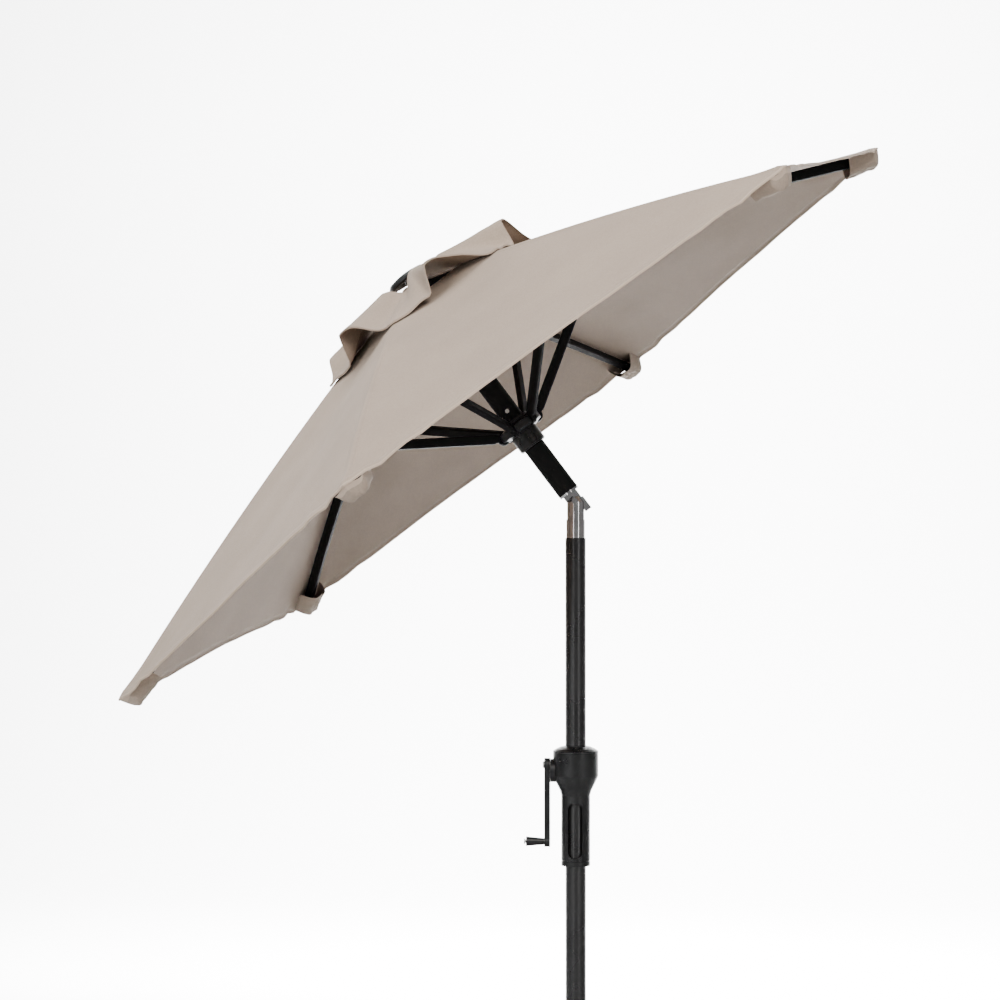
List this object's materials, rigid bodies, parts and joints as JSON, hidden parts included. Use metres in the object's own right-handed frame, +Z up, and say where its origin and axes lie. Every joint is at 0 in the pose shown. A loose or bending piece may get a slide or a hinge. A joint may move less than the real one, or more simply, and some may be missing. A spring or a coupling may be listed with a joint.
{
  "type": "patio umbrella",
  "caption": "Tilting crank-lift patio umbrella with a hexagonal vented canvas canopy on a black mast and a round weighted base.",
  "frame": {"origin": "centre of the foot pads' underside on the floor, on the mast's axis", "axes": "+Z up along the mast; the canopy leans towards -X about a tilt pin along Y"},
  "size_m": [1.3752, 1.6982, 2.3361],
  "materials": {
    "powder_coat": "satin black powder coat",
    "cast_base": "textured black paint",
    "black_plastic": "fine moulded texture",
    "chrome_steel": "polished",
    "zinc_steel": "zinc plated",
    "foot_rubber": "matte",
    "taupe_canvas": "plain-woven polyester canvas",
    "white_cord": "braided"
  },
  "bodies": {
    "base": {"base_feet": "foot_rubber", "base_weight": "cast_base", "base_tube": "powder_coat", "base_bolts": "zinc_steel", "pole_bushes": "black_plastic"},
    "clamp": {"clamp_screw": "zinc_steel", "clamp_knob": "black_plastic"},
    "mast": {"lower_pole": "powder_coat", "pole_coupler": "zinc_steel", "mast_tube": "powder_coat", "lower_ferrule": "chrome_steel", "tilt_pin": "zinc_steel", "mast_rivets": "zinc_steel", "lift_cord_lower": "white_cord", "housing_body": "black_plastic", "housing_screws": "zinc_steel", "housing_cap": "black_plastic"},
    "crank": {"crank_spool": "zinc_steel", "crank_arm": "black_plastic", "crank_screw": "zinc_steel", "grip_pin": "zinc_steel"},
    "crank_grip": {"crank_grip": "black_plastic"},
    "tilt_button": {"tilt_button": "chrome_steel"},
    "upper_mast": {"upper_pole": "powder_coat", "upper_knuckle": "chrome_steel", "pole_rivet": "zinc_steel", "top_hub": "black_plastic", "hub_wire": "zinc_steel", "finial": "black_plastic", "pulley": "black_plastic", "pulley_pin": "zinc_steel", "lift_cord_upper": "white_cord"},
    "runner": {"runner": "black_plastic", "runner_wire": "zinc_steel"},
    "rib_1": {"rib_1": "powder_coat", "rib_fittings_1": "powder_coat", "canopy_1": "taupe_canvas"},
    "strut_1": {"strut_1": "powder_coat"},
    "rib_2": {"rib_2": "powder_coat", "rib_fittings_2": "powder_coat", "canopy_2": "taupe_canvas"},
    "strut_2": {"strut_2": "powder_coat"},
    "rib_3": {"rib_3": "powder_coat", "rib_fittings_3": "powder_coat", "canopy_3": "taupe_canvas"},
    "strut_3": {"strut_3": "powder_coat"},
    "rib_4": {"rib_4": "powder_coat", "rib_fittings_4": "powder_coat", "canopy_4": "taupe_canvas"},
    "strut_4": {"strut_4": "powder_coat"},
    "rib_5": {"rib_5": "powder_coat", "rib_fittings_5": "powder_coat", "canopy_5": "taupe_canvas"},
    "strut_5": {"strut_5": "powder_coat"},
    "rib_6": {"rib_6": "powder_coat", "rib_fittings_6": "powder_coat", "canopy_6": "taupe_canvas"},
    "strut_6": {"strut_6": "powder_coat"}
  },
  "joints": [
    {"name": "mast_swivel", "type": "hinge", "parent": "base", "child": "mast", "pos_m": [0, 0, 0.2], "axis": [0, 0, 1], "continuous": true},
    {"name": "clamp_turn", "type": "hinge", "parent": "base", "child": "clamp", "pos_m": [0.06, 0, 0.3], "axis": [1, 0, 0], "range_deg": [0, 360]},
    {"name": "mast_tilt", "type": "hinge", "parent": "mast", "child": "upper_mast", "pos_m": [0, 0, 1.66], "axis": [0, 1, 0], "range_deg": [0, 37]},
    {"name": "button_press", "type": "slide", "parent": "mast", "child": "tilt_button", "axis": [0, 1, 0], "range_m": [0, 0.003], "stiffness_N_per_m": 500, "springref_m": -0.002},
    {"name": "runner_slide", "type": "slide", "parent": "upper_mast", "child": "runner", "axis": [0.6018, 0, -0.7986], "range_m": [0, 0.085]},
    {"name": "crank_turn", "type": "hinge", "parent": "mast", "child": "crank", "pos_m": [-0.05, 0, 1.172], "axis": [1, 0, 0], "range_deg": [0, 487.5]},
    {"name": "grip_spin", "type": "hinge", "parent": "crank", "child": "crank_grip", "pos_m": [-0.075, 0, 1.03], "axis": [1, 0, 0], "continuous": true},
    {"name": "rib_fold_1", "type": "hinge", "parent": "upper_mast", "child": "rib_1", "pos_m": [-0.26862, 0.00721, 2.06486], "axis": [-0.1919, 0.9707, -0.1446], "range_deg": [0, 9.88], "deforming": ["canopy_1"]},
    {"name": "strut_fold_1", "type": "hinge", "parent": "runner", "child": "strut_1", "pos_m": [-0.07405, 0.00913, 1.81957], "axis": [0.1919, -0.9707, 0.1446], "range_deg": [0, 6.89]},
    {"name": "rib_fold_2", "type": "hinge", "parent": "upper_mast", "child": "rib_2", "pos_m": [-0.28524, 0.02882, 2.05234], "axis": [-0.7673, 0.2773, -0.5782], "range_deg": [0, 9.88], "deforming": ["canopy_2"]},
    {"name": "strut_fold_2", "type": "hinge", "parent": "runner", "child": "strut_2", "pos_m": [-0.0951, 0.03651, 1.80371], "axis": [0.7673, -0.2773, 0.5782], "range_deg": [0, 6.89]},
    {"name": "rib_fold_3", "type": "hinge", "parent": "upper_mast", "child": "rib_3", "pos_m": [-0.30849, 0.02162, 2.03482], "axis": [-0.5755, -0.6934, -0.4336], "range_deg": [0, 9.88], "deforming": ["canopy_3"]},
    {"name": "strut_fold_3", "type": "hinge", "parent": "runner", "child": "strut_3", "pos_m": [-0.12456, 0.02738, 1.78151], "axis": [0.5755, 0.6934, 0.4336], "range_deg": [0, 6.89]},
    {"name": "rib_fold_4", "type": "hinge", "parent": "upper_mast", "child": "rib_4", "pos_m": [-0.31514, -0.00721, 2.02981], "axis": [0.1919, -0.9707, 0.1446], "range_deg": [0, 9.88], "deforming": ["canopy_4"]},
    {"name": "strut_fold_4", "type": "hinge", "parent": "runner", "child": "strut_4", "pos_m": [-0.13297, -0.00913, 1.77517], "axis": [-0.1919, 0.9707, -0.1446], "range_deg": [0, 6.89]},
    {"name": "rib_fold_5", "type": "hinge", "parent": "upper_mast", "child": "rib_5", "pos_m": [-0.29852, -0.02882, 2.04233], "axis": [0.7673, -0.2773, 0.5782], "range_deg": [0, 9.88], "deforming": ["canopy_5"]},
    {"name": "strut_fold_5", "type": "hinge", "parent": "runner", "child": "strut_5", "pos_m": [-0.11193, -0.03651, 1.79102], "axis": [-0.7673, 0.2773, -0.5782], "range_deg": [0, 6.89]},
    {"name": "rib_fold_6", "type": "hinge", "parent": "upper_mast", "child": "rib_6", "pos_m": [-0.27527, -0.02162, 2.05986], "axis": [0.5755, 0.6934, 0.4336], "range_deg": [0, 9.88], "deforming": ["canopy_6"]},
    {"name": "strut_fold_6", "type": "hinge", "parent": "runner", "child": "strut_6", "pos_m": [-0.08247, -0.02738, 1.81322], "axis": [-0.5755, -0.6934, -0.4336], "range_deg": [0, 6.89]}
  ],
  "couplings": [
    {"joint": "crank_turn", "follows": "runner_slide", "rad_per_m": 100},
    {"joint": "rib_fold_1", "follows": "runner_slide", "rad_per_m": 2.0178},
    {"joint": "strut_fold_1", "follows": "runner_slide", "rad_per_m": 1.404},
    {"joint": "rib_fold_2", "follows": "runner_slide", "rad_per_m": 2.0178},
    {"joint": "strut_fold_2", "follows": "runner_slide", "rad_per_m": 1.404},
    {"joint": "rib_fold_3", "follows": "runner_slide", "rad_per_m": 2.0178},
    {"joint": "strut_fold_3", "follows": "runner_slide", "rad_per_m": 1.404},
    {"joint": "rib_fold_4", "follows": "runner_slide", "rad_per_m": 2.0178},
    {"joint": "strut_fold_4", "follows": "runner_slide", "rad_per_m": 1.404},
    {"joint": "rib_fold_5", "follows": "runner_slide", "rad_per_m": 2.0178},
    {"joint": "strut_fold_5", "follows": "runner_slide", "rad_per_m": 1.404},
    {"joint": "rib_fold_6", "follows": "runner_slide", "rad_per_m": 2.0178},
    {"joint": "strut_fold_6", "follows": "runner_slide", "rad_per_m": 1.404}
  ]
}
